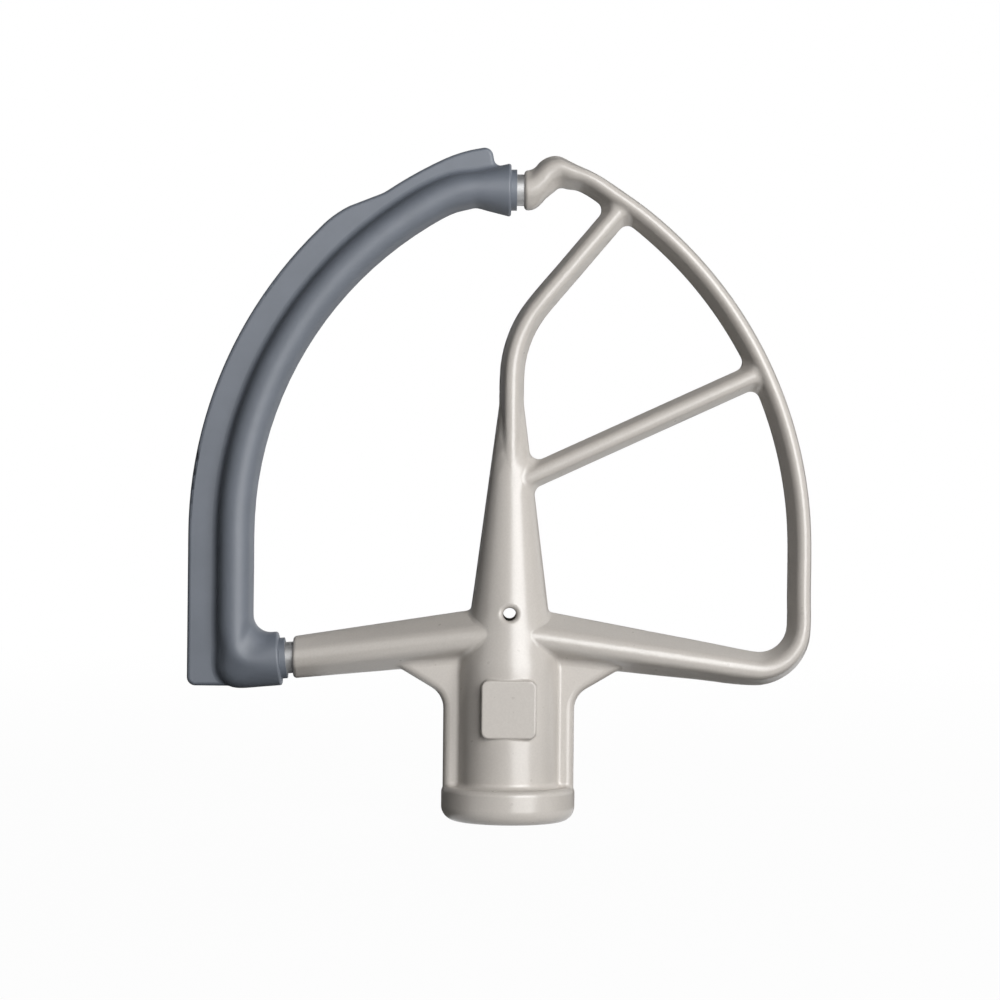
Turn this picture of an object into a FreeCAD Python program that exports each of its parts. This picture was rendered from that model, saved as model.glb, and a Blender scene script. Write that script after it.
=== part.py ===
import FreeCAD, Part
import math
import os

# Flat beater of a stand mixer with a soft scraper edge, in millimetres.
# Z runs along the shaft socket, from its mouth at z = 0 to the far end of the beater.
# X is the width of the beater and Y its thickness; the front looks towards -Y.
# Depths of bars are half thicknesses, measured from the middle plane y = 0.

# Hub and stem
ring_dia = 28.0
ring_height = 7.2
ring_foot_round = 3.0
ring_top_round = 1.2
hub_dia = 21.4
hub_root_round = 1.2
hub_top_z = 32.5
hub_shoulder_round = 15.0
stem_base_dia = 16.3
stem_base_z = 44.0
stem_base_round = 25.0
stem_end_z = 90.5
stem_end_inset = 0.4

# Shaft and cross pin of the mixer, and the socket that takes them
shaft_dia = 12.7
shaft_clearance = 0.1
socket_depth = 44.5
socket_end_round = 3.5
socket_mouth_chamfer = 0.6
pin_dia = 4.8
pin_reach = 9.9
pin_clearance = 0.3
pin_lip = 2.2
pin_turn = 75.0
vent_dia = 2.7
vent_z = 43.4
vent_rim_round = 0.9

# Bare pad on the front of the hub
pad_width = 11.4
pad_height = 12.05
pad_z = 23.84
pad_corner_round = 1.6
pad_proud = 0.35
pad_sink = 0.8
pad_edge_round = 0.4
pad_blend = 0.6

# Ribs beside the hub and gussets under the arms
rib_span = 27.4
rib_thickness = 6.0
rib_foot_z = 4.0
rib_edge_round = 1.6
gusset_z = 26.3
gusset_slope = 30.6
gusset_round = 5.0
gusset_blend = 2.0

# Arms
arm_top_z = 45.3
arm_bottom_z = 33.65
arm_bottom_slope = 5.5
arm_root_depth = 8.4
arm_root_round = 2.6
arm_ridge = 0.52
arm_blend = 1.0
right_arm_slope = 10.4
right_arm_depth = 5.2
right_arm_round = 2.2
left_arm_slope = 9.0
left_arm_reach = 45.3
left_arm_depth = 4.7
left_arm_round = 3.2
left_arm_end_round = 0.8

# Right rail, from the lower corner to the hook
rail_reach = 63.2
rail_width = 5.0
rail_depth = 4.6
rail_ridge = 0.78
rail_round = 1.4
rail_radius = 90.0
rail_belly_z = 57.2
corner_inner_radius = 5.8
corner_outer_radius = 11.9

# Hook that takes the end of the rail down to the upper neck; its points count from the neck
hook_start_x = 13.1
hook_drop = 4.45
hook_end_x = 2.2
hook_end_height = 8.2
hook_end_depth = 4.1
hook_end_round = 3.4
hook_rim_round = 0.8
hook_crown = (6.55, 2.4)
hook_crown_radius = 4.8
hook_arch = (8.0, -2.0)
hook_arch_radius = 2.5
hook_knee_inner = (4.7, -1.6)
hook_knee_outer = (2.4, 4.9)
hook_lobe_inner = (3.0, -3.4)
hook_lobe_outer = (1.3, 4.3)

# Struts: bars that are narrow from the front and deep from the side
strut_width = 5.15
strut_root_z = 60.0
strut_depth = 4.3
strut_end_depth = 3.6
strut_ridge = 0.5
strut_round = 1.7
strut_bend_z = 92.5
strut_bend_radius = 24.66
strut_bend_angle = 40.0
mid_strut_width = 5.06
mid_strut_z = 70.1
mid_strut_slope = 24.9
mid_strut_depth = 3.9
strut_blend = 2.0
stem_blend = 2.5

# Bare necks, and the bar between them inside the scraper
neck_dia = 6.6
neck_length = 6.5
neck_root = 3.0
low_neck_tilt = 5.0
core_dia = 5.2
core_bend_radius = 6.0

# Sleeve of the soft scraper
sleeve_width = 7.85
sleeve_depth = 5.4
sleeve_round = 3.5
sleeve_inset = 9.95
sleeve_bend_radius = 20.0
sleeve_level_run = 6.13
elbow_inner_radius = 3.6
elbow_outer_radius = 5.0
flange_dia = 11.3
flange_round = 5.2
flange_gap = 2.7
flange_flare = 7.0
flange_land = 1.0
flange_rim_round = 0.5
collar_dia = 8.6
collar_length = 1.2

# Fin of the soft scraper; its angles count from where the sleeve leaves its long arc to level out
fin_reach = 67.6
fin_radius = 90.0
fin_thickness = 2.2
fin_lip_round = 0.8
fin_blend = 1.4
fin_foot_z = 27.6
fin_corner_round = 1.8
fin_step = 2.8
fin_step_start = 15.6
fin_step_crest = 10.6
fin_step_end = 5.7
fin_step_drop = 0.7
fin_step_round = 8.0
fin_shoulder_radius = 22.0
fin_tip_angle = -3.9
fin_tip_radius = 29.3
fin_end_x = -4.7
fin_end_rise = 9.0
fin_end_slant = 1.8

ACROSS = FreeCAD.Vector(0, 1, 0)
UP = FreeCAD.Vector(0, 0, 1)
POINTS_PER_SIDE = 4


def point(x, z, y=0.0):
    return FreeCAD.Vector(x, y, z)


def mix(start, end, share):
    return start + (end - start) * share


def polar(centre, radius, degrees):
    """Spot of the flat plane at a radius and an angle from a centre."""
    angle = math.radians(degrees)
    return (centre[0] + radius * math.cos(angle), centre[1] + radius * math.sin(angle))


def bulge(start, end, radius):
    """Middle of the arc of a radius from start to end that bends out to the left of its way."""
    half = math.dist(start, end) / 2
    height = radius - math.sqrt(radius ** 2 - half ** 2)
    middle = ((start[0] + end[0]) / 2, (start[1] + end[1]) / 2)
    away = math.degrees(math.atan2(end[1] - start[1], end[0] - start[0])) + 90
    return polar(middle, height, away)


def line(start, end):
    return Part.LineSegment(point(*start), point(*end)).toShape()


def arc(start, middle, end):
    return Part.Arc(point(*start), point(*middle), point(*end)).toShape()


def rounded_corner(before, corner, after):
    """Start, middle and end of the arc that rounds one corner, given as x, z and radius."""
    x, z, radius = corner
    if radius == 0:
        return ((x, z), None, (x, z))
    back = math.atan2(before[1] - z, before[0] - x)
    ahead = math.atan2(after[1] - z, after[0] - x)
    half = math.acos(math.cos(back - ahead)) / 2
    bisector = math.atan2(math.sin(back) + math.sin(ahead), math.cos(back) + math.cos(ahead))
    run = radius / math.tan(half)
    inset = radius / math.sin(half) - radius
    return (
        polar((x, z), run, math.degrees(back)),
        polar((x, z), inset, math.degrees(bisector)),
        polar((x, z), run, math.degrees(ahead)),
    )


def rounded_chain(corners):
    """Lines through the corners, with a tangent arc at each corner that has a radius."""
    spots = [corner[:2] for corner in corners]
    runs = [(spots[0], None, spots[0])]
    for before, corner, after in zip(spots, corners[1:-1], spots[2:]):
        runs.append(rounded_corner(before, corner, after))
    runs.append((spots[-1], None, spots[-1]))
    edges = []
    for here, following in zip(runs, runs[1:]):
        edges.append(line(here[2], following[0]))
        if following[1] is not None:
            edges.append(arc(*following))
    return edges


def section_points(inner, outer, depth, ridge, rounding):
    """Points round one section of a bar: a kite between two outline spots, its corners rounded.

    The bar is thickest at the ridge, a share of the way from the inner spot to the outer one.
    """
    length = math.dist(inner, outer)
    along = ((outer[0] - inner[0]) / length, (outer[1] - inner[1]) / length)
    width = length - 2 * rounding
    height = depth - rounding
    corners = [(width, 0), (ridge * width, height), (0, 0), (ridge * width, -height)]
    points = []
    for number, start in enumerate(corners):
        end = corners[(number + 1) % 4]
        facing = math.pi / 2 * number
        slope = math.atan2(end[1] - start[1], end[0] - start[0])
        turn = (slope - math.pi / 2 - facing) % (2 * math.pi)
        arc_run = rounding * turn
        flat_run = math.dist(start, end)
        side_run = rounding * math.pi / 2 + flat_run
        for step in range(POINTS_PER_SIDE):
            run = side_run * step / POINTS_PER_SIDE
            share = min(max((run - arc_run) / flat_run, 0.0), 1.0)
            angle = facing + (run - share * flat_run) / rounding
            across = mix(start[0], end[0], share) + rounding * math.cos(angle) + rounding
            y = mix(start[1], end[1], share) + rounding * math.sin(angle)
            points.append(point(inner[0] + along[0] * across, inner[1] + along[1] * across, y))
    return points


def skin(stations):
    """Solid with one smooth skin through the sections at the stations and flat ends.

    Along the stations, the inner spots lie on the left hand.
    """
    poles = []
    for station in stations:
        points = section_points(*station)
        section = Part.BSplineCurve()
        turns = [float(number) for number in range(len(points) + 1)]
        section.interpolate(Points=points, PeriodicFlag=True, Parameters=turns)
        poles.append(section.getPoles())
    runs = [0.0]
    for before, after in zip(stations, stations[1:]):
        inner_run = math.dist(before[0], after[0])
        outer_run = math.dist(before[1], after[1])
        runs.append(runs[-1] + (inner_run + outer_run) / 2)
    rows = []
    for spots in zip(*poles):
        row = Part.BSplineCurve()
        row.interpolate(Points=list(spots), Parameters=runs)
        rows.append(row.getPoles())
    surface = Part.BSplineSurface()
    surface.buildFromPolesMultsKnots(
        rows,
        section.getMultiplicities(),
        row.getMultiplicities(),
        section.getKnots(),
        row.getKnots(),
        True,
        False,
        section.Degree,
        row.Degree,
    )
    side = surface.toShape()
    ends = [Part.Face(Part.Wire([edge])) for edge in side.Edges if edge.isClosed()]
    shell = Part.makeShell([side] + ends)
    shell.sewShape()
    return Part.makeSolid(shell)


def edges_in_plane(body, spot, way):
    """Edges of a body that lie in the plane through a spot, square to a way."""
    found = []
    for edge in body.Edges:
        offsets = [abs((place - spot).dot(way)) for place in edge.discretize(5)]
        if max(offsets) < 0.001:
            found.append(edge)
    return found


def standing_edges(plate, spot):
    """Edges of a plate that cross its thickness at one corner of its outline."""
    found = []
    for edge in plate.Edges:
        offsets = [math.dist((vertex.X, vertex.Z), spot) for vertex in edge.Vertexes]
        if max(offsets) < 0.001:
            found.append(edge)
    return found


def meeting_edges(body, first, second):
    """Edges of a fused body along which the skins of two of its parts meet."""
    seam = first.section(second)
    found = []
    for edge in body.Edges:
        if not seam.BoundBox.intersect(edge.BoundBox):
            continue
        low, high = edge.ParameterRange
        spots = [edge.valueAt(mix(low, high, share)) for share in (0.25, 0.5, 0.75)]
        gaps = [seam.distToShape(Part.Vertex(spot))[0] for spot in spots]
        if max(gaps) < 0.01:
            found.append(edge)
    return found


def joined(first, second, radius):
    """Two parts in one piece, with a blend of the radius where their skins meet."""
    body = first.fuse(second)
    return body.makeFillet(radius, meeting_edges(body, first, second))


def plate_from(outline, front, thickness):
    """Flat plate with a closed outline, from its front plane backwards."""
    face = Part.Face(Part.Wire(outline))
    face.translate(ACROSS * front)
    return face.extrude(ACROSS * thickness)


def top_line(x, slope):
    return arm_top_z - math.tan(math.radians(slope)) * abs(x)


def bottom_line(x):
    return arm_bottom_z - math.tan(math.radians(arm_bottom_slope)) * abs(x)


# Hub and tapered stem, turned about the axis of the socket
ring_r = ring_dia / 2
hub_r = hub_dia / 2
stem_end_r = strut_width / 2 - stem_end_inset
hub_profile = rounded_chain([
    (0, 0, 0),
    (ring_r, 0, ring_foot_round),
    (ring_r, ring_height, ring_top_round),
    (hub_r, ring_height, hub_root_round),
    (hub_r, hub_top_z, hub_shoulder_round),
    (stem_base_dia / 2, stem_base_z, stem_base_round),
    (stem_end_r, stem_end_z, 0),
    (0, stem_end_z, 0),
    (0, 0, 0),
])
hub = Part.Face(Part.Wire(hub_profile)).revolve(point(0, 0), UP, 360)

# The stem runs into the upper strut, which bends over to the rail; the middle strut leaves it below
rail_centre = (rail_reach - rail_radius, rail_belly_z)
rail_ridge_radius = rail_radius - rail_width * (1 - rail_ridge)


def run_to_rail(start, way):
    """Length from a start along a way to the ridge of the rail."""
    offset = (start[0] - rail_centre[0], start[1] - rail_centre[1])
    ahead = offset[0] * way[0] + offset[1] * way[1]
    reach = rail_ridge_radius ** 2 - offset[0] ** 2 - offset[1] ** 2
    return math.sqrt(ahead ** 2 + reach) - ahead


def strut_station(spot, degrees, width, depth):
    """Section of a strut square to its way, which leads off at an angle."""
    left = polar(spot, width / 2, degrees + 90)
    right = polar(spot, width / 2, degrees - 90)
    return (left, right, depth, strut_ridge, strut_round)


def straight_stations(start, degrees, run, width, start_depth, end_depth):
    """Sections of a straight run of a strut, whose depth may change along it."""
    stations = []
    for step in range(5):
        share = step / 4
        spot = polar(start, run * share, degrees)
        stations.append(strut_station(spot, degrees, width, mix(start_depth, end_depth, share)))
    return stations


bend_centre = (strut_bend_radius, strut_bend_z)
strut_start = polar(bend_centre, strut_bend_radius, 180 - strut_bend_angle)
strut_angle = 90 - strut_bend_angle
strut_run = run_to_rail(strut_start, polar((0, 0), 1, strut_angle))
strut_root = (0, strut_root_z)
root_run = strut_bend_z - strut_root_z
strut_stations = straight_stations(strut_root, 90, root_run, strut_width, strut_depth, strut_depth)
for step in range(1, 6):
    turn = strut_bend_angle * step / 6
    spot = polar(bend_centre, strut_bend_radius, 180 - turn)
    strut_stations.append(strut_station(spot, 90 - turn, strut_width, strut_depth))
strut_stations += straight_stations(
    strut_start, strut_angle, strut_run, strut_width, strut_depth, strut_end_depth
)
strut = skin(strut_stations)
mid_start = (0, mid_strut_z)
mid_run = run_to_rail(mid_start, polar((0, 0), 1, mid_strut_slope))
mid_strut = skin(straight_stations(
    mid_start, mid_strut_slope, mid_run, mid_strut_width, mid_strut_depth, strut_end_depth
))

# Right arm and lower corner of the rail
inner_x = rail_reach - rail_width
inner_corner_x = inner_x - corner_inner_radius
inner_corner_rise = corner_inner_radius / math.cos(math.radians(right_arm_slope))
inner_corner = (inner_corner_x, top_line(inner_corner_x, right_arm_slope) + inner_corner_rise)
outer_corner_x = rail_reach - corner_outer_radius
outer_corner_rise = corner_outer_radius / math.cos(math.radians(arm_bottom_slope))
outer_corner = (outer_corner_x, bottom_line(outer_corner_x) + outer_corner_rise)
inner_start = -90 - right_arm_slope
outer_start = -90 - arm_bottom_slope
arm_top_end_x = polar(inner_corner, corner_inner_radius, inner_start)[0]
arm_bottom_end_x = polar(outer_corner, corner_outer_radius, outer_start)[0]
right_stations = []
for step in range(7):
    share = step / 6
    top_x = arm_top_end_x * share
    bottom_x = arm_bottom_end_x * share
    right_stations.append((
        (top_x, top_line(top_x, right_arm_slope)),
        (bottom_x, bottom_line(bottom_x)),
        mix(arm_root_depth, right_arm_depth, share),
        arm_ridge,
        mix(arm_root_round, right_arm_round, share),
    ))
for step in range(1, 8):
    share = step / 7
    right_stations.append((
        polar(inner_corner, corner_inner_radius, mix(inner_start, 0, share)),
        polar(outer_corner, corner_outer_radius, mix(outer_start, 0, share)),
        mix(right_arm_depth, rail_depth, share),
        mix(arm_ridge, rail_ridge, share),
        mix(right_arm_round, rail_round, share),
    ))

# Rail: straight at first, then round to the hook
rail_shape = (rail_depth, rail_ridge, rail_round)
for share in (0.33, 0.67):
    inner_spot = (inner_x, mix(inner_corner[1], rail_belly_z, share))
    outer_spot = (rail_reach, mix(outer_corner[1], rail_belly_z, share))
    right_stations.append((inner_spot, outer_spot) + rail_shape)
rail_inner_radius = rail_radius - rail_width
rail_turn = math.degrees(math.acos((hook_start_x - rail_centre[0]) / rail_inner_radius))
for step in range(15):
    angle = rail_turn * step / 14
    inner_spot = polar(rail_centre, rail_inner_radius, angle)
    outer_spot = polar(rail_centre, rail_radius, angle)
    right_stations.append((inner_spot, outer_spot) + rail_shape)

# Hook: a crown above and an arch below, then a lobe that drops to the neck
neck_z = polar(rail_centre, rail_radius, rail_turn)[1] - hook_drop


def from_neck(offset):
    return (hook_end_x + offset[0], neck_z + offset[1])


crown = from_neck(hook_crown)
arch = from_neck(hook_arch)
hook_spots = [
    (polar(arch, hook_arch_radius, 65), polar(crown, hook_crown_radius, 50)),
    (polar(arch, hook_arch_radius, 90), polar(crown, hook_crown_radius, 82)),
    (polar(arch, hook_arch_radius, 115), polar(crown, hook_crown_radius, 110)),
    (polar(arch, hook_arch_radius, 145), polar(crown, hook_crown_radius, 135)),
    (from_neck(hook_knee_inner), from_neck(hook_knee_outer)),
    (from_neck(hook_lobe_inner), from_neck(hook_lobe_outer)),
    (from_neck((0, -hook_end_height / 2)), from_neck((0, hook_end_height / 2))),
]
for number, (inner_spot, outer_spot) in enumerate(hook_spots):
    share = (number + 1) / len(hook_spots)
    right_stations.append((
        inner_spot,
        outer_spot,
        mix(rail_depth, hook_end_depth, share),
        mix(rail_ridge, 0.5, share),
        mix(rail_round, hook_end_round, share),
    ))
right_bar = skin(right_stations)
hook_rim = edges_in_plane(right_bar, point(hook_end_x, neck_z), point(1, 0))
right_bar = right_bar.makeFillet(hook_rim_round, hook_rim)

# Left arm, which ends at the lower neck
left_stations = []
for step in range(4):
    share = step / 3
    x = -left_arm_reach * share
    left_stations.append((
        (x, top_line(x, left_arm_slope)),
        (x, bottom_line(x)),
        mix(arm_root_depth, left_arm_depth, share),
        arm_ridge,
        mix(arm_root_round, left_arm_round, share),
    ))
left_bar = skin(left_stations[::-1])
left_rim = edges_in_plane(left_bar, point(-left_arm_reach, 0), point(1, 0))
left_bar = left_bar.makeFillet(left_arm_end_round, left_rim)


# Ribs and gussets: one web on each side of the hub, reaching up into the arm
def web(side, arm_slope):
    rib_x = rib_span / 2
    rise = math.tan(math.radians(gusset_slope))
    top_fall = math.tan(math.radians(arm_slope))
    bottom_fall = math.tan(math.radians(arm_bottom_slope))
    arm_middle_z = (arm_top_z + arm_bottom_z) / 2
    gusset_x = (arm_middle_z - gusset_z + rise * rib_x) / (rise + (top_fall + bottom_fall) / 2)
    outline = rounded_chain([
        (0, rib_foot_z, 0),
        (side * rib_x, rib_foot_z, 0),
        (side * rib_x, gusset_z, gusset_round),
        (side * gusset_x, gusset_z + rise * (gusset_x - rib_x), 0),
        (0, arm_middle_z, 0),
        (0, rib_foot_z, 0),
    ])
    plate = plate_from(outline, -rib_thickness / 2, rib_thickness)
    free_edges = []
    for edge in plate.Edges:
        first, last = edge.Vertexes
        lengthwise = abs(first.Y - last.Y) < 0.001
        if lengthwise and min(first.X * side, last.X * side) > rib_x - 0.001:
            free_edges.append(edge)
    return plate.makeFillet(rib_edge_round, free_edges)


right_half = joined(right_bar, web(1, right_arm_slope), gusset_blend)
left_half = joined(left_bar, web(-1, left_arm_slope), gusset_blend)

# Pad on the front of the hub, left bare
half_pad = pad_width / 2
pad_foot_z = pad_z - pad_height / 2
pad_top_z = pad_z + pad_height / 2
pad_outline = rounded_chain([
    (0, pad_foot_z, 0),
    (half_pad, pad_foot_z, pad_corner_round),
    (half_pad, pad_top_z, pad_corner_round),
    (-half_pad, pad_top_z, pad_corner_round),
    (-half_pad, pad_foot_z, pad_corner_round),
    (0, pad_foot_z, 0),
])
pad_front = -hub_r - pad_proud
pad_back = pad_sink - math.sqrt(hub_r ** 2 - half_pad ** 2)
pad = plate_from(pad_outline, pad_front, pad_back - pad_front)
pad = pad.makeFillet(pad_edge_round, edges_in_plane(pad, point(0, 0, pad_front), ACROSS))

# One casting, blended where its members run into each other
casting = joined(hub, pad, pad_blend)
casting = casting.fuse([strut, mid_strut, right_half, left_half])
for first, second, radius in (
    (hub, right_half, arm_blend),
    (hub, left_half, arm_blend),
    (hub, mid_strut, strut_blend),
    (strut, right_half, strut_blend),
    (mid_strut, right_half, strut_blend),
    (hub, strut, stem_blend),
):
    casting = casting.makeFillet(radius, meeting_edges(casting, first, second))

# Way of the scraper: along the lower neck, up the side, over the top and into the upper neck
sleeve_radius = fin_radius - sleeve_inset
sleeve_x = sleeve_inset - fin_reach
high_flange_x = hook_end_x - flange_gap
turn_centre = (high_flange_x - sleeve_level_run, neck_z - sleeve_bend_radius)
turn_run = fin_radius - fin_reach - turn_centre[0]
turn_rise = math.sqrt((sleeve_radius - sleeve_bend_radius) ** 2 - turn_run ** 2)
turn_angle = math.degrees(math.atan2(turn_rise, -turn_run))
fin_belly_z = turn_centre[1] - turn_rise
fin_centre = (fin_radius - fin_reach, fin_belly_z)
tilt = math.radians(low_neck_tilt)
arm_end_top = top_line(left_arm_reach, left_arm_slope)
low_neck_z = (arm_end_top + bottom_line(left_arm_reach)) / 2
low_way = point(-math.cos(tilt), -math.sin(tilt))


def low_axis(x):
    return low_neck_z + (x + left_arm_reach) * math.tan(tilt)


low_start_x = neck_root - left_arm_reach
low_start = point(low_start_x, low_axis(low_start_x))
high_start = point(hook_end_x + neck_root, neck_z)
side_start = (sleeve_x, fin_belly_z)
side_turn = polar(fin_centre, sleeve_radius, turn_angle)
side_arc = arc(side_start, polar(fin_centre, sleeve_radius, (180 + turn_angle) / 2), side_turn)
top_turn = (turn_centre[0], neck_z)
top_arc = arc(side_turn, polar(turn_centre, sleeve_bend_radius, (90 + turn_angle) / 2), top_turn)
core_way = rounded_chain([
    (low_start.x, low_start.z, 0),
    (sleeve_x, low_axis(sleeve_x), core_bend_radius),
    side_start,
])
core_way += [side_arc, top_arc, line(top_turn, (high_start.x, high_start.z))]
core_end = Part.Wire(Part.makeCircle(core_dia / 2, low_start, low_way))
core_bar = Part.Wire(core_way).makePipeShell([core_end], True, True)
neck_run = neck_root + neck_length
low_neck = Part.makeCylinder(neck_dia / 2, neck_run, low_start, low_way)
high_neck = Part.makeCylinder(neck_dia / 2, neck_run, high_start, point(-1, 0))
core = core_bar.fuse([low_neck, high_neck])

# Socket for the shaft; a keyway and a pocket behind a lip take its cross pin
socket_r = (shaft_dia + shaft_clearance) / 2
socket_profile = rounded_chain([
    (0, -1, 0),
    (socket_r + socket_mouth_chamfer + 1, -1, 0),
    (socket_r, socket_mouth_chamfer, 0),
    (socket_r, socket_depth, socket_end_round),
    (0, socket_depth, 0),
    (0, -1, 0),
])
socket = Part.Face(Part.Wire(socket_profile)).revolve(point(0, 0), UP, 360)
slot_r = pin_reach + pin_clearance
slot_width = pin_dia + 2 * pin_clearance
slot_top = pin_lip + pin_dia + pin_clearance
pocket_height = slot_top - pin_lip
keyway = Part.makeBox(slot_r, slot_width, slot_top + 1, point(0, -1, -slot_width / 2))
pocket = Part.makeCylinder(slot_r, pocket_height, point(0, pin_lip), UP, pin_turn)
pocket_end = Part.makeBox(slot_r, slot_width, pocket_height, point(0, pin_lip, -slot_width / 2))
pocket_end.rotate(point(0, 0), UP, pin_turn)
pin_sweep = Part.makeCylinder(slot_r, slot_top + 1, point(0, -1), UP)
pin_slot = keyway.fuse([pocket, pocket_end]).common(pin_sweep)
vent = Part.makeCylinder(vent_dia / 2, ring_dia, point(0, vent_z, -ring_r), ACROSS)
frame = casting.fuse(core).cut(vent)
frame = frame.makeFillet(vent_rim_round, meeting_edges(frame, vent, hub))
frame = frame.cut(socket.fuse(pin_slot))

# Sleeve: stations from the lower flange round the elbow
flange_r = flange_dia / 2
low_flange_spot = low_start + low_way * (neck_root / math.cos(tilt) + flange_gap)
low_flange = (low_flange_spot.x, low_flange_spot.z)
low_angle = low_neck_tilt - 90
sleeve_inner_x = sleeve_x + sleeve_width / 2
sleeve_outer_x = sleeve_x - sleeve_width / 2
elbow_round = min(elbow_inner_radius, low_flange[0] - sleeve_inner_x - flange_land)
inner_turn_x = sleeve_inner_x + elbow_round
inner_turn_rise = (flange_r + elbow_round) / math.cos(tilt)
inner_turn = (inner_turn_x, low_axis(inner_turn_x) + inner_turn_rise)
outer_turn_x = sleeve_outer_x + elbow_outer_radius
outer_turn_rise = (elbow_outer_radius - flange_r) / math.cos(tilt)
outer_turn = (outer_turn_x, low_axis(outer_turn_x) + outer_turn_rise)


def elbow_outside(share):
    """Spot on the outside of the elbow: under the flange, round the corner and up the side."""
    start = polar(inner_turn, elbow_round + flange_dia, low_angle)
    bend_start = polar(outer_turn, elbow_outer_radius, low_angle)
    bend_angle = 90 + low_neck_tilt
    foot_run = math.dist(start, bend_start)
    bend_run = elbow_outer_radius * math.radians(bend_angle)
    rise = inner_turn[1] - outer_turn[1]
    run = share * (foot_run + bend_run + rise)
    if run < foot_run:
        part = run / foot_run
        return (mix(start[0], bend_start[0], part), mix(start[1], bend_start[1], part))
    if run < foot_run + bend_run:
        part = (run - foot_run) / bend_run
        return polar(outer_turn, elbow_outer_radius, low_angle - bend_angle * part)
    return (sleeve_outer_x, outer_turn[1] + run - foot_run - bend_run)


flange_top = polar(low_flange, flange_r, 90 + low_neck_tilt)
flange_bottom = polar(low_flange, flange_r, low_angle)
sleeve_stations = [(flange_top, flange_bottom, flange_r, 0.5, flange_round)]
for step in range(9):
    share = step / 8
    sleeve_stations.append((
        polar(inner_turn, elbow_round, mix(low_angle, -180, share)),
        elbow_outside(share),
        mix(flange_r, sleeve_depth, share),
        0.5,
        mix(flange_round, sleeve_round, share),
    ))

# Sleeve: up the side and over the top to the upper flange
sleeve_shape = (sleeve_depth, 0.5, sleeve_round)
half_width = sleeve_width / 2
for share in (0.33, 0.67):
    z = mix(inner_turn[1], fin_belly_z, share)
    sleeve_stations.append(((sleeve_inner_x, z), (sleeve_outer_x, z)) + sleeve_shape)
for step in range(12):
    angle = mix(180, turn_angle, step / 11)
    inner_spot = polar(fin_centre, sleeve_radius - half_width, angle)
    outer_spot = polar(fin_centre, sleeve_radius + half_width, angle)
    sleeve_stations.append((inner_spot, outer_spot) + sleeve_shape)
for step in range(1, 3):
    angle = mix(turn_angle, 90, step / 3)
    inner_spot = polar(turn_centre, sleeve_bend_radius - half_width, angle)
    outer_spot = polar(turn_centre, sleeve_bend_radius + half_width, angle)
    sleeve_stations.append((inner_spot, outer_spot) + sleeve_shape)
for step in range(5):
    share = step / 4
    x = mix(high_flange_x - flange_flare, high_flange_x, share)
    flare_r = mix(half_width, flange_r, share)
    sleeve_stations.append((
        (x, neck_z - flare_r),
        (x, neck_z + flare_r),
        mix(sleeve_depth, flange_r, share),
        0.5,
        mix(sleeve_round, flange_round, share),
    ))
sleeve = skin(sleeve_stations[::-1])
flange_rims = edges_in_plane(sleeve, point(high_flange_x, neck_z), point(1, 0))
flange_rims += edges_in_plane(sleeve, low_flange_spot, low_way)
sleeve = sleeve.makeFillet(flange_rim_round, flange_rims)

# Fin: a flat lip along the outside of the sleeve, stepped back near its upper end
step_radius = fin_radius - fin_step
step_start_angle = turn_angle + fin_step_start
step_end_angle = turn_angle + fin_step_end
tip_angle = turn_angle + fin_tip_angle
fin_foot = (-fin_reach, fin_foot_z)
fin_side = (-fin_reach, fin_belly_z)
step_start = polar(fin_centre, fin_radius, step_start_angle)
step_crest = polar(fin_centre, fin_radius - fin_step_drop, turn_angle + fin_step_crest)
step_end = polar(fin_centre, step_radius, step_end_angle)
tip_start = polar(fin_centre, step_radius, tip_angle)
tip_end = (fin_end_x, neck_z + fin_end_rise)
fin_root = (fin_end_x + fin_end_slant, neck_z)
fin_outline = [
    line((sleeve_x, fin_foot_z), fin_foot),
    line(fin_foot, fin_side),
    arc(fin_side, polar(fin_centre, fin_radius, (180 + step_start_angle) / 2), step_start),
    arc(step_start, bulge(step_start, step_crest, fin_shoulder_radius), step_crest),
    line(step_crest, step_end),
    arc(step_end, polar(fin_centre, step_radius, (step_end_angle + tip_angle) / 2), tip_start),
    arc(tip_start, bulge(tip_start, tip_end, fin_tip_radius), tip_end),
    line(tip_end, fin_root),
    line(fin_root, top_turn),
    top_arc,
    side_arc,
    line(side_start, (sleeve_x, fin_foot_z)),
]
fin = plate_from(fin_outline, -fin_thickness / 2, fin_thickness)
fin_corners = standing_edges(fin, fin_foot) + standing_edges(fin, tip_end)
fin = fin.makeFillet(fin_corner_round, fin_corners)
fin = fin.makeFillet(fin_step_round, standing_edges(fin, step_end))
core_line = Part.Wire(core_way)
lip_edges = []
for edge in fin.Edges:
    low, high = edge.ParameterRange
    middle = Part.Vertex(edge.valueAt((low + high) / 2))
    lengthwise = abs(edge.Vertexes[0].Y - edge.Vertexes[-1].Y) < 0.001
    if lengthwise and core_line.distToShape(middle)[0] > fin_thickness:
        lip_edges.append(edge)
fin = fin.makeFillet(fin_lip_round, lip_edges)

# Scraper: sleeve, fin and the collars that stand out of its flanges round the necks
scraper = sleeve.fuse(fin)
creases = meeting_edges(scraper, sleeve, fin)
long_creases = [edge for edge in creases if edge.Length > fin_thickness]
scraper = scraper.makeFillet(fin_blend, long_creases)
high_collar = Part.makeCylinder(collar_dia / 2, collar_length, point(high_flange_x, neck_z), point(1, 0))
low_collar = Part.makeCylinder(collar_dia / 2, collar_length, low_flange_spot, low_way * -1)
scraper = scraper.fuse([high_collar, low_collar]).cut(core)

os.makedirs("parts", exist_ok=True)
frame.exportStep("parts/beater_frame.step")
scraper.exportStep("parts/scraper_edge.step")
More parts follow.
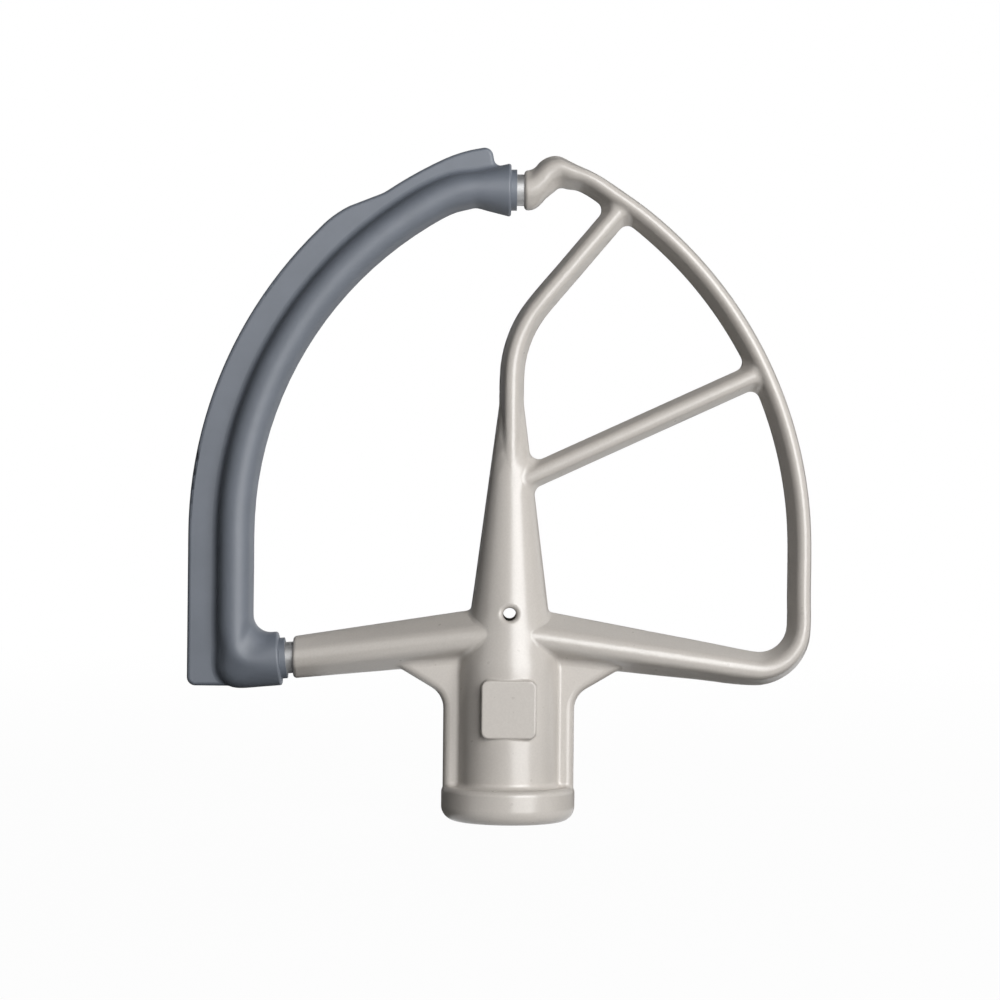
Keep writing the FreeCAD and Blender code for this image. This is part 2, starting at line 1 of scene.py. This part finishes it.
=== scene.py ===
import bpy
import math
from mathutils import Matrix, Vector

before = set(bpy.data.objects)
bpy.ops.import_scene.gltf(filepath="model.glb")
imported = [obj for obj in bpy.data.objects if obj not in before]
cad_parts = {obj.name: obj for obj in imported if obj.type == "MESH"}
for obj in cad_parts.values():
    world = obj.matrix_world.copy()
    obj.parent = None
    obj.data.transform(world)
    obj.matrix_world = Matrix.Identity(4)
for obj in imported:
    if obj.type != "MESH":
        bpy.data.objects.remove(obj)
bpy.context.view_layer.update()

# Places on the beater, in metres
HIGH_NECK_END = 0.0022        # the coat stops here at the upper neck
HIGH_NECK_FOOT = 0.120        # and the upper neck lies above this
LOW_NECK_END = -0.0453        # the coat stops here at the lower neck
MIDDLE = Vector((0, 0, 0.07))

# Camera at the photograph's place: square to the beater, a little turned about its own axis
CAMERA_PLACE = (-0.00224, -0.620, 0.06714)
CAMERA_LENS = 106.3
CAMERA_SENSOR = 36
CAMERA_ROLL = -0.566

# Studio, in metres
FLOOR_SIZE = 8.0
FLOOR_NEAR = 0.15             # the floor takes the shadow up to here
FLOOR_FAR = 0.70              # and is plain white from here on
FLOOR_NEAR_WHITE = 0.97
FLOOR_GREY = (0.32, 0.32, 0.32, 1)
FLOOR_ROUGHNESS = 0.9
CARD_BLACK = (0.01, 0.01, 0.01, 1)
CARD_LIFT = 0.0005            # a card on the floor lies this far above it
WORLD_WHITE = (1, 1, 1, 1)
WORLD_LIGHT = 0.02

# Finish of the coat, the bare metal and the soft edge, as linear colours
COAT_LIGHT = (0.536, 0.503, 0.465, 1)
COAT_DARK = (0.516, 0.483, 0.446, 1)
BARE_LIGHT = (0.43, 0.43, 0.43, 1)
BARE_DARK = (0.37, 0.37, 0.37, 1)
SOFT_LIGHT = (0.136, 0.153, 0.183, 1)
SOFT_DARK = (0.121, 0.137, 0.164, 1)
COAT_SPECULAR = 0.8
SOFT_SPECULAR = 0.8
BARE_METALLIC = 0.6

# Patterns of the finish, as features per metre, and how high they stand, in metres
COAT_GRAIN = 2400
COAT_PEEL = 600
SOFT_MOTTLE = 160
SOFT_SKIN = 2800
GRAIN_HEIGHT = 0.00001
PEEL_HEIGHT = 0.00004
SKIN_HEIGHT = 0.00002


def new_material(name):
    """Node material with its shader."""
    material = bpy.data.materials.new(name)
    material.use_nodes = True
    tree = material.node_tree
    return material, tree, tree.nodes["Principled BSDF"]


def own_place(tree):
    """Coordinates of the piece itself, in metres."""
    return tree.nodes.new("ShaderNodeTexCoord").outputs["Object"]


def add_noise(tree, place, scale, detail):
    """Noise on the piece; scale counts features per metre."""
    noise = tree.nodes.new("ShaderNodeTexNoise")
    noise.inputs["Scale"].default_value = scale
    noise.inputs["Detail"].default_value = detail
    tree.links.new(place, noise.inputs["Vector"])
    return noise.outputs["Fac"]


def add_ramp(tree, factor, low, high, low_colour, high_colour):
    """Colour that goes from one tone to another between two values of a factor."""
    ramp = tree.nodes.new("ShaderNodeValToRGB")
    ramp.color_ramp.elements[0].position = low
    ramp.color_ramp.elements[1].position = high
    ramp.color_ramp.elements[0].color = low_colour
    ramp.color_ramp.elements[1].color = high_colour
    tree.links.new(factor, ramp.inputs["Fac"])
    return ramp.outputs["Color"]


def add_range(tree, factor, low, high, start=0.0, end=1.0):
    """Number that goes from low to high while a factor goes from start to end."""
    span = tree.nodes.new("ShaderNodeMapRange")
    span.inputs["From Min"].default_value = start
    span.inputs["From Max"].default_value = end
    span.inputs["To Min"].default_value = low
    span.inputs["To Max"].default_value = high
    tree.links.new(factor, span.inputs["Value"])
    return span.outputs["Result"]


def add_math(tree, operation, first, second):
    """Product or comparison of a link with another link or a number."""
    node = tree.nodes.new("ShaderNodeMath")
    node.operation = operation
    tree.links.new(first, node.inputs[0])
    if isinstance(second, float):
        node.inputs[1].default_value = second
    else:
        tree.links.new(second, node.inputs[1])
    return node.outputs[0]


def add_mix(tree, kind, factor, first, second):
    """Mix of two links, colours or numbers."""
    mix = tree.nodes.new("ShaderNodeMix")
    mix.data_type = kind
    ending = {"RGBA": "Color", "FLOAT": "Float"}[kind]
    inputs = {socket.identifier: socket for socket in mix.inputs}
    outputs = {socket.identifier: socket for socket in mix.outputs}
    tree.links.new(factor, inputs["Factor_Float"])
    tree.links.new(first, inputs["A_" + ending])
    tree.links.new(second, inputs["B_" + ending])
    return outputs["Result_" + ending]


def add_bump(tree, height, distance, strength, below=None):
    """Relief of a height pattern, laid over another relief if there is one."""
    bump = tree.nodes.new("ShaderNodeBump")
    bump.inputs["Distance"].default_value = distance
    bump.inputs["Strength"].default_value = strength
    tree.links.new(height, bump.inputs["Height"])
    if below is not None:
        tree.links.new(below, bump.inputs["Normal"])
    return bump.outputs["Normal"]


def bare_share(tree, place):
    """One on the bare necks at the two ends of the bars, and zero on the coat."""
    parts = tree.nodes.new("ShaderNodeSeparateXYZ")
    tree.links.new(place, parts.inputs["Vector"])
    left_of_hook = add_math(tree, "LESS_THAN", parts.outputs["X"], HIGH_NECK_END)
    above = add_math(tree, "GREATER_THAN", parts.outputs["Z"], HIGH_NECK_FOOT)
    high_neck = add_math(tree, "MULTIPLY", left_of_hook, above)
    low_neck = add_math(tree, "LESS_THAN", parts.outputs["X"], LOW_NECK_END)
    return add_math(tree, "MAXIMUM", high_neck, low_neck)


def coated_metal():
    """Satin silver-grey powder coat with a fine grain and a faint orange peel, bare at the necks."""
    material, tree, shader = new_material("powder_coat")
    place = own_place(tree)
    grain = add_noise(tree, place, COAT_GRAIN, detail=2)
    peel = add_noise(tree, place, COAT_PEEL, detail=1)
    bare = bare_share(tree, place)
    coat = add_ramp(tree, grain, 0.42, 0.58, COAT_DARK, COAT_LIGHT)
    metal = add_ramp(tree, grain, 0.3, 0.7, BARE_DARK, BARE_LIGHT)
    tree.links.new(add_mix(tree, "RGBA", bare, coat, metal), shader.inputs["Base Color"])
    coat_gloss = add_range(tree, peel, low=0.26, high=0.32)
    metal_gloss = add_range(tree, grain, low=0.34, high=0.44)
    tree.links.new(add_mix(tree, "FLOAT", bare, coat_gloss, metal_gloss), shader.inputs["Roughness"])
    tree.links.new(add_range(tree, bare, low=0.0, high=BARE_METALLIC), shader.inputs["Metallic"])
    shader.inputs["Specular IOR Level"].default_value = COAT_SPECULAR
    peel_relief = add_bump(tree, peel, PEEL_HEIGHT, strength=0.06)
    relief = add_bump(tree, grain, GRAIN_HEIGHT, strength=0.08, below=peel_relief)
    tree.links.new(relief, shader.inputs["Normal"])
    return material


def soft_elastomer():
    """Matte blue-grey elastomer with the faint mottle of a moulded skin."""
    material, tree, shader = new_material("soft_edge")
    place = own_place(tree)
    mottle = add_noise(tree, place, SOFT_MOTTLE, detail=4)
    skin = add_noise(tree, place, SOFT_SKIN, detail=2)
    tree.links.new(add_ramp(tree, mottle, 0.3, 0.7, SOFT_DARK, SOFT_LIGHT), shader.inputs["Base Color"])
    tree.links.new(add_range(tree, skin, low=0.48, high=0.58), shader.inputs["Roughness"])
    shader.inputs["Specular IOR Level"].default_value = SOFT_SPECULAR
    tree.links.new(add_bump(tree, skin, SKIN_HEIGHT, strength=0.3), shader.inputs["Normal"])
    return material


def seen_rays(tree):
    """One for camera, glossy and transmission rays, and zero for the rest."""
    path = tree.nodes.new("ShaderNodeLightPath")
    seen = add_math(tree, "MAXIMUM", path.outputs["Is Camera Ray"], path.outputs["Is Glossy Ray"])
    return add_math(tree, "MAXIMUM", seen, path.outputs["Is Transmission Ray"])


def floor_finish():
    """White where it is seen, with a little grey near the beater that takes its shadow."""
    material, tree, shader = new_material("floor_paint")
    shader.inputs["Base Color"].default_value = FLOOR_GREY
    shader.inputs["Roughness"].default_value = FLOOR_ROUGHNESS
    reach = tree.nodes.new("ShaderNodeVectorMath")
    reach.operation = "LENGTH"
    tree.links.new(tree.nodes.new("ShaderNodeNewGeometry").outputs["Position"], reach.inputs[0])
    white = add_range(tree, reach.outputs["Value"], FLOOR_NEAR_WHITE, 1, FLOOR_NEAR, FLOOR_FAR)
    mix = tree.nodes.new("ShaderNodeMixShader")
    glow = tree.nodes.new("ShaderNodeEmission")
    tree.links.new(add_math(tree, "MULTIPLY", seen_rays(tree), white), mix.inputs["Fac"])
    tree.links.new(shader.outputs["BSDF"], mix.inputs[1])
    tree.links.new(glow.outputs["Emission"], mix.inputs[2])
    tree.links.new(mix.outputs["Shader"], tree.nodes["Material Output"].inputs["Surface"])
    return material


def card_finish():
    """Plain black for the cards."""
    material, tree, shader = new_material("card_paint")
    shader.inputs["Base Color"].default_value = CARD_BLACK
    shader.inputs["Roughness"].default_value = 1
    return material


def around(azimuth, elevation, distance):
    """Place seen from the middle of the beater; azimuth 0 is the front and 90 the right."""
    turn, lift = math.radians(azimuth), math.radians(elevation)
    way = Vector((math.sin(turn) * math.cos(lift), -math.cos(turn) * math.cos(lift), math.sin(lift)))
    return MIDDLE + way * distance


def face_middle(thing, place):
    """Put a lamp or card at a place, turned to the middle of the beater."""
    thing.location = place
    thing.rotation_euler = (place - MIDDLE).to_track_quat("Z", "Y").to_euler()


def soft_box(name, place, width, height, power):
    """Rectangular soft light turned to the beater."""
    lamp = bpy.data.lights.new(name, "AREA")
    lamp.shape = "RECTANGLE"
    lamp.size = width
    lamp.size_y = height
    lamp.energy = power
    holder = bpy.data.objects.new(name, lamp)
    bpy.context.scene.collection.objects.link(holder)
    face_middle(holder, place)


def plain_sheet(name, material, width, depth):
    """Flat sheet for the floor and the cards."""
    bpy.ops.object.select_all(action="DESELECT")
    bpy.ops.mesh.primitive_plane_add(size=1)
    sheet = bpy.context.active_object
    sheet.name = name
    sheet.scale = (width, depth, 1)
    sheet.data.materials.append(material)
    return sheet


def black_card(name, paint, width, height):
    """Dark card that keeps white reflections off the beater; the camera doesn't see it."""
    card = plain_sheet(name, paint, width, height)
    card.visible_camera = False
    card.visible_shadow = False
    return card


def standing_card(name, paint, place, width, height):
    """Black card turned to the beater."""
    face_middle(black_card(name, paint, width, height), place)


def lying_card(name, paint, x, y, width, depth):
    """Black card on the floor."""
    black_card(name, paint, width, depth).location = (x, y, CARD_LIFT)


def lay_floor():
    """Floor that mirrors don't show, so that the key light runs down the hub."""
    floor = plain_sheet("floor", floor_finish(), FLOOR_SIZE, FLOOR_SIZE)
    floor.visible_glossy = False


def fill_world():
    """White where it is seen or mirrored, and a low even light elsewhere."""
    world = bpy.data.worlds.new("studio")
    world.use_nodes = True
    bpy.context.scene.world = world
    tree = world.node_tree
    background = tree.nodes["Background"]
    background.inputs["Color"].default_value = WORLD_WHITE
    level = add_range(tree, seen_rays(tree), WORLD_LIGHT, 1)
    tree.links.new(level, background.inputs["Strength"])


def set_lights():
    """One key light from the front right, two behind, and cards that darken the left and the flanks."""
    soft_box("key_right", around(28, 10, 0.9), width=0.67, height=0.95, power=13.2)
    soft_box("back_left", around(-166, 10, 1.1), width=0.7, height=0.9, power=7)
    soft_box("back_right", around(164, 12, 1.1), width=0.7, height=0.9, power=10)
    paint = card_finish()
    standing_card("card_left", paint, around(-120, 10, 0.6), width=1.5, height=1.2)
    standing_card("card_top", paint, around(-100, 68, 0.5), width=0.7, height=0.8)
    standing_card("card_back", paint, around(180, 18, 0.45), width=0.9, height=0.6)
    lying_card("card_low_left", paint, x=-0.34, y=0.05, width=0.60, depth=0.80)
    lying_card("card_low_right", paint, x=0.163, y=0.010, width=0.28, depth=0.050)


def set_camera():
    """Camera level with the beater's middle, looking along +Y."""
    lens = bpy.data.cameras.new("camera")
    lens.lens = CAMERA_LENS
    lens.sensor_width = CAMERA_SENSOR
    camera = bpy.data.objects.new("camera", lens)
    bpy.context.scene.collection.objects.link(camera)
    camera.location = CAMERA_PLACE
    camera.rotation_euler = (math.radians(90), math.radians(CAMERA_ROLL), 0)
    bpy.context.scene.camera = camera


# The two cast and moulded pieces keep their solids' shapes and get their finish
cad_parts["beater_frame"].material_slots[0].material = coated_metal()
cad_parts["scraper_edge"].material_slots[0].material = soft_elastomer()

lay_floor()
fill_world()
set_lights()
set_camera()
bpy.context.scene.view_settings.view_transform = "Standard"
